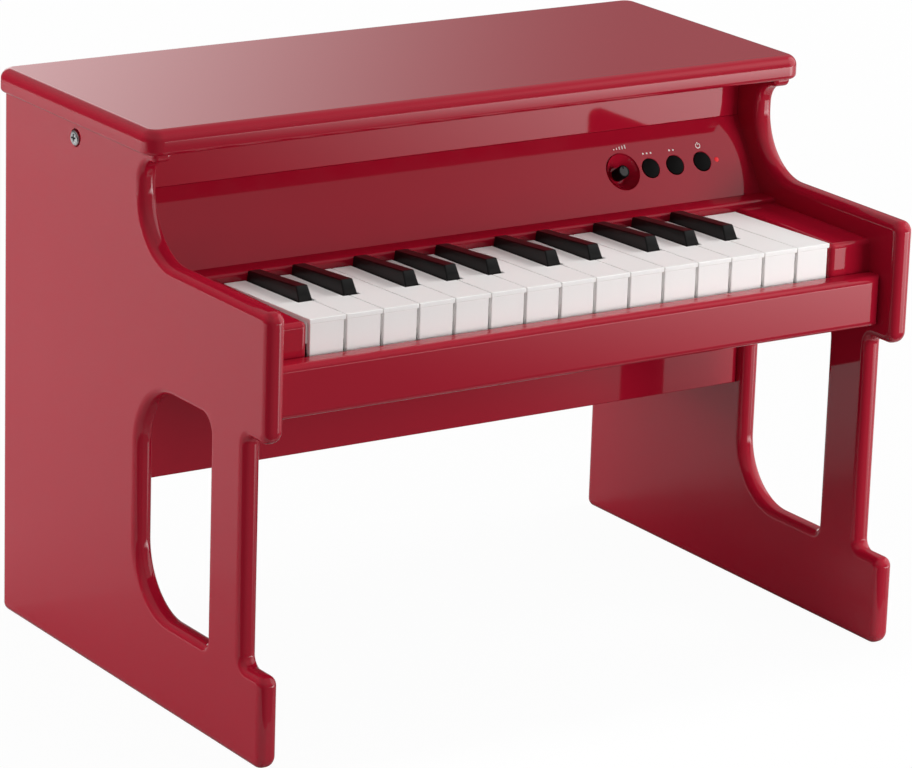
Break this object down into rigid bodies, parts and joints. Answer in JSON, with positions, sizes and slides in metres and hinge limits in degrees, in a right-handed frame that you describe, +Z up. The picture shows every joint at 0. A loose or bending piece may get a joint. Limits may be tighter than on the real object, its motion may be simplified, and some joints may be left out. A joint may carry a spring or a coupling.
{
  "type": "toy piano",
  "caption": "Small upright electronic toy piano with lacquered board sides, mini keys, a sloped control panel with knob and push buttons, and a lid hinged at the back.",
  "frame": {"origin": "on the floor under the middle of the overall box", "axes": "+X along the keys towards the high notes, +Y from the player to the back, +Z up"},
  "size_m": [0.416, 0.283, 0.3093],
  "materials": {
    "red_lacquered_board": "high-gloss red lacquer over fibreboard",
    "dark_red_board": "thin red paint over fibreboard",
    "white_key_plastic": "gloss white moulded keys",
    "black_key_plastic": "gloss black moulded keys",
    "tray_plastic": "moulded plastic",
    "rod_steel": "ground steel rod",
    "hinge_steel": "zinc-plated steel",
    "screw_steel": "nickel-plated steel",
    "circuit_board": "solder-masked glass fibre board",
    "contact_rubber": "moulded silicone rubber",
    "black_control_plastic": "satin black plastic",
    "control_case": "pressed metal case",
    "red_lamp": "clear red plastic",
    "speaker_steel": "black-painted pressed steel with a magnet",
    "speaker_paper": "pressed paper cone",
    "battery_plastic": "moulded black plastic",
    "cell_sleeve": "plain printed sleeve",
    "socket_plastic": "moulded black plastic"
  },
  "bodies": {
    "cabinet": {"batteries": "cell_sleeve", "battery_box": "battery_plastic", "battery_door": "battery_plastic", "bottom_board": "dark_red_board", "cabinet_screws": "screw_steel", "cheek_blocks": "red_lacquered_board", "control_board": "circuit_board", "control_panel": "red_lacquered_board", "frieze_board": "red_lacquered_board", "headphone_socket": "socket_plastic", "indicator_lamp": "red_lamp", "key_contact_board": "circuit_board", "key_contact_strip": "contact_rubber", "key_pivot_rod": "rod_steel", "key_slip": "red_lacquered_board", "keybed": "dark_red_board", "keyboard_tray": "tray_plastic", "left_side_panel": "red_lacquered_board", "lid_hinge_fixed_leaves": "hinge_steel", "lower_front_panel": "red_lacquered_board", "main_board": "circuit_board", "power_inlet": "socket_plastic", "rear_panel": "dark_red_board", "rear_strip": "red_lacquered_board", "right_side_panel": "red_lacquered_board", "speaker_cone": "speaker_paper", "speaker_deck": "dark_red_board", "speaker_frame": "speaker_steel", "volume_control": "control_case"},
    "lid": {"top_lid": "red_lacquered_board", "lid_hinge_moving_leaves": "hinge_steel"},
    "volume_knob": {"volume_knob": "black_control_plastic"},
    "sound_button": {"sound_button": "black_control_plastic"},
    "song_button": {"song_button": "black_control_plastic"},
    "power_button": {"power_button": "black_control_plastic"},
    "key_01_c": {"key_01_c": "white_key_plastic"},
    "key_02_c_sharp": {"key_02_c_sharp": "black_key_plastic"},
    "key_03_d": {"key_03_d": "white_key_plastic"},
    "key_04_d_sharp": {"key_04_d_sharp": "black_key_plastic"},
    "key_05_e": {"key_05_e": "white_key_plastic"},
    "key_06_f": {"key_06_f": "white_key_plastic"},
    "key_07_f_sharp": {"key_07_f_sharp": "black_key_plastic"},
    "key_08_g": {"key_08_g": "white_key_plastic"},
    "key_09_g_sharp": {"key_09_g_sharp": "black_key_plastic"},
    "key_10_a": {"key_10_a": "white_key_plastic"},
    "key_11_a_sharp": {"key_11_a_sharp": "black_key_plastic"},
    "key_12_b": {"key_12_b": "white_key_plastic"},
    "key_13_c": {"key_13_c": "white_key_plastic"},
    "key_14_c_sharp": {"key_14_c_sharp": "black_key_plastic"},
    "key_15_d": {"key_15_d": "white_key_plastic"},
    "key_16_d_sharp": {"key_16_d_sharp": "black_key_plastic"},
    "key_17_e": {"key_17_e": "white_key_plastic"},
    "key_18_f": {"key_18_f": "white_key_plastic"},
    "key_19_f_sharp": {"key_19_f_sharp": "black_key_plastic"},
    "key_20_g": {"key_20_g": "white_key_plastic"},
    "key_21_g_sharp": {"key_21_g_sharp": "black_key_plastic"},
    "key_22_a": {"key_22_a": "white_key_plastic"},
    "key_23_a_sharp": {"key_23_a_sharp": "black_key_plastic"},
    "key_24_b": {"key_24_b": "white_key_plastic"},
    "key_25_c": {"key_25_c": "white_key_plastic"}
  },
  "joints": [
    {"name": "lid_hinge", "type": "hinge", "parent": "cabinet", "child": "lid", "pos_m": [0, 0.1391, 0.2934], "axis": [-1, 0, 0], "range_deg": [0, 95]},
    {"name": "volume_turn", "type": "hinge", "parent": "cabinet", "child": "volume_knob", "pos_m": [0.105, -0.00609, 0.24903], "axis": [0, -0.8443, 0.5358], "range_deg": [-150, 150]},
    {"name": "sound_button_press", "type": "slide", "parent": "cabinet", "child": "sound_button", "axis": [0, 0.8443, -0.5358], "range_m": [0, 0.0012], "stiffness_N_per_m": 800, "springref_m": -0.0015},
    {"name": "song_button_press", "type": "slide", "parent": "cabinet", "child": "song_button", "axis": [0, 0.8443, -0.5358], "range_m": [0, 0.0012], "stiffness_N_per_m": 800, "springref_m": -0.0015},
    {"name": "power_button_press", "type": "slide", "parent": "cabinet", "child": "power_button", "axis": [0, 0.8443, -0.5358], "range_m": [0, 0.0012], "stiffness_N_per_m": 800, "springref_m": -0.0015},
    {"name": "key_01_c_press", "type": "hinge", "parent": "cabinet", "child": "key_01_c", "pos_m": [0, 0.002, 0.217], "axis": [1, 0, 0], "range_deg": [0, 2.4], "stiffness_Nm_per_rad": 0.6, "springref_deg": -5.73, "deforming": ["key_contact_strip"]},
    {"name": "key_02_c_sharp_press", "type": "hinge", "parent": "cabinet", "child": "key_02_c_sharp", "pos_m": [0, 0.002, 0.217], "axis": [1, 0, 0], "range_deg": [0, 2.4], "stiffness_Nm_per_rad": 0.6, "springref_deg": -5.73, "deforming": ["key_contact_strip"]},
    {"name": "key_03_d_press", "type": "hinge", "parent": "cabinet", "child": "key_03_d", "pos_m": [0, 0.002, 0.217], "axis": [1, 0, 0], "range_deg": [0, 2.4], "stiffness_Nm_per_rad": 0.6, "springref_deg": -5.73, "deforming": ["key_contact_strip"]},
    {"name": "key_04_d_sharp_press", "type": "hinge", "parent": "cabinet", "child": "key_04_d_sharp", "pos_m": [0, 0.002, 0.217], "axis": [1, 0, 0], "range_deg": [0, 2.4], "stiffness_Nm_per_rad": 0.6, "springref_deg": -5.73, "deforming": ["key_contact_strip"]},
    {"name": "key_05_e_press", "type": "hinge", "parent": "cabinet", "child": "key_05_e", "pos_m": [0, 0.002, 0.217], "axis": [1, 0, 0], "range_deg": [0, 2.4], "stiffness_Nm_per_rad": 0.6, "springref_deg": -5.73, "deforming": ["key_contact_strip"]},
    {"name": "key_06_f_press", "type": "hinge", "parent": "cabinet", "child": "key_06_f", "pos_m": [0, 0.002, 0.217], "axis": [1, 0, 0], "range_deg": [0, 2.4], "stiffness_Nm_per_rad": 0.6, "springref_deg": -5.73, "deforming": ["key_contact_strip"]},
    {"name": "key_07_f_sharp_press", "type": "hinge", "parent": "cabinet", "child": "key_07_f_sharp", "pos_m": [0, 0.002, 0.217], "axis": [1, 0, 0], "range_deg": [0, 2.4], "stiffness_Nm_per_rad": 0.6, "springref_deg": -5.73, "deforming": ["key_contact_strip"]},
    {"name": "key_08_g_press", "type": "hinge", "parent": "cabinet", "child": "key_08_g", "pos_m": [0, 0.002, 0.217], "axis": [1, 0, 0], "range_deg": [0, 2.4], "stiffness_Nm_per_rad": 0.6, "springref_deg": -5.73, "deforming": ["key_contact_strip"]},
    {"name": "key_09_g_sharp_press", "type": "hinge", "parent": "cabinet", "child": "key_09_g_sharp", "pos_m": [0, 0.002, 0.217], "axis": [1, 0, 0], "range_deg": [0, 2.4], "stiffness_Nm_per_rad": 0.6, "springref_deg": -5.73, "deforming": ["key_contact_strip"]},
    {"name": "key_10_a_press", "type": "hinge", "parent": "cabinet", "child": "key_10_a", "pos_m": [0, 0.002, 0.217], "axis": [1, 0, 0], "range_deg": [0, 2.4], "stiffness_Nm_per_rad": 0.6, "springref_deg": -5.73, "deforming": ["key_contact_strip"]},
    {"name": "key_11_a_sharp_press", "type": "hinge", "parent": "cabinet", "child": "key_11_a_sharp", "pos_m": [0, 0.002, 0.217], "axis": [1, 0, 0], "range_deg": [0, 2.4], "stiffness_Nm_per_rad": 0.6, "springref_deg": -5.73, "deforming": ["key_contact_strip"]},
    {"name": "key_12_b_press", "type": "hinge", "parent": "cabinet", "child": "key_12_b", "pos_m": [0, 0.002, 0.217], "axis": [1, 0, 0], "range_deg": [0, 2.4], "stiffness_Nm_per_rad": 0.6, "springref_deg": -5.73, "deforming": ["key_contact_strip"]},
    {"name": "key_13_c_press", "type": "hinge", "parent": "cabinet", "child": "key_13_c", "pos_m": [0, 0.002, 0.217], "axis": [1, 0, 0], "range_deg": [0, 2.4], "stiffness_Nm_per_rad": 0.6, "springref_deg": -5.73, "deforming": ["key_contact_strip"]},
    {"name": "key_14_c_sharp_press", "type": "hinge", "parent": "cabinet", "child": "key_14_c_sharp", "pos_m": [0, 0.002, 0.217], "axis": [1, 0, 0], "range_deg": [0, 2.4], "stiffness_Nm_per_rad": 0.6, "springref_deg": -5.73, "deforming": ["key_contact_strip"]},
    {"name": "key_15_d_press", "type": "hinge", "parent": "cabinet", "child": "key_15_d", "pos_m": [0, 0.002, 0.217], "axis": [1, 0, 0], "range_deg": [0, 2.4], "stiffness_Nm_per_rad": 0.6, "springref_deg": -5.73, "deforming": ["key_contact_strip"]},
    {"name": "key_16_d_sharp_press", "type": "hinge", "parent": "cabinet", "child": "key_16_d_sharp", "pos_m": [0, 0.002, 0.217], "axis": [1, 0, 0], "range_deg": [0, 2.4], "stiffness_Nm_per_rad": 0.6, "springref_deg": -5.73, "deforming": ["key_contact_strip"]},
    {"name": "key_17_e_press", "type": "hinge", "parent": "cabinet", "child": "key_17_e", "pos_m": [0, 0.002, 0.217], "axis": [1, 0, 0], "range_deg": [0, 2.4], "stiffness_Nm_per_rad": 0.6, "springref_deg": -5.73, "deforming": ["key_contact_strip"]},
    {"name": "key_18_f_press", "type": "hinge", "parent": "cabinet", "child": "key_18_f", "pos_m": [0, 0.002, 0.217], "axis": [1, 0, 0], "range_deg": [0, 2.4], "stiffness_Nm_per_rad": 0.6, "springref_deg": -5.73, "deforming": ["key_contact_strip"]},
    {"name": "key_19_f_sharp_press", "type": "hinge", "parent": "cabinet", "child": "key_19_f_sharp", "pos_m": [0, 0.002, 0.217], "axis": [1, 0, 0], "range_deg": [0, 2.4], "stiffness_Nm_per_rad": 0.6, "springref_deg": -5.73, "deforming": ["key_contact_strip"]},
    {"name": "key_20_g_press", "type": "hinge", "parent": "cabinet", "child": "key_20_g", "pos_m": [0, 0.002, 0.217], "axis": [1, 0, 0], "range_deg": [0, 2.4], "stiffness_Nm_per_rad": 0.6, "springref_deg": -5.73, "deforming": ["key_contact_strip"]},
    {"name": "key_21_g_sharp_press", "type": "hinge", "parent": "cabinet", "child": "key_21_g_sharp", "pos_m": [0, 0.002, 0.217], "axis": [1, 0, 0], "range_deg": [0, 2.4], "stiffness_Nm_per_rad": 0.6, "springref_deg": -5.73, "deforming": ["key_contact_strip"]},
    {"name": "key_22_a_press", "type": "hinge", "parent": "cabinet", "child": "key_22_a", "pos_m": [0, 0.002, 0.217], "axis": [1, 0, 0], "range_deg": [0, 2.4], "stiffness_Nm_per_rad": 0.6, "springref_deg": -5.73, "deforming": ["key_contact_strip"]},
    {"name": "key_23_a_sharp_press", "type": "hinge", "parent": "cabinet", "child": "key_23_a_sharp", "pos_m": [0, 0.002, 0.217], "axis": [1, 0, 0], "range_deg": [0, 2.4], "stiffness_Nm_per_rad": 0.6, "springref_deg": -5.73, "deforming": ["key_contact_strip"]},
    {"name": "key_24_b_press", "type": "hinge", "parent": "cabinet", "child": "key_24_b", "pos_m": [0, 0.002, 0.217], "axis": [1, 0, 0], "range_deg": [0, 2.4], "stiffness_Nm_per_rad": 0.6, "springref_deg": -5.73, "deforming": ["key_contact_strip"]},
    {"name": "key_25_c_press", "type": "hinge", "parent": "cabinet", "child": "key_25_c", "pos_m": [0, 0.002, 0.217], "axis": [1, 0, 0], "range_deg": [0, 2.4], "stiffness_Nm_per_rad": 0.6, "springref_deg": -5.73, "deforming": ["key_contact_strip"]}
  ]
}
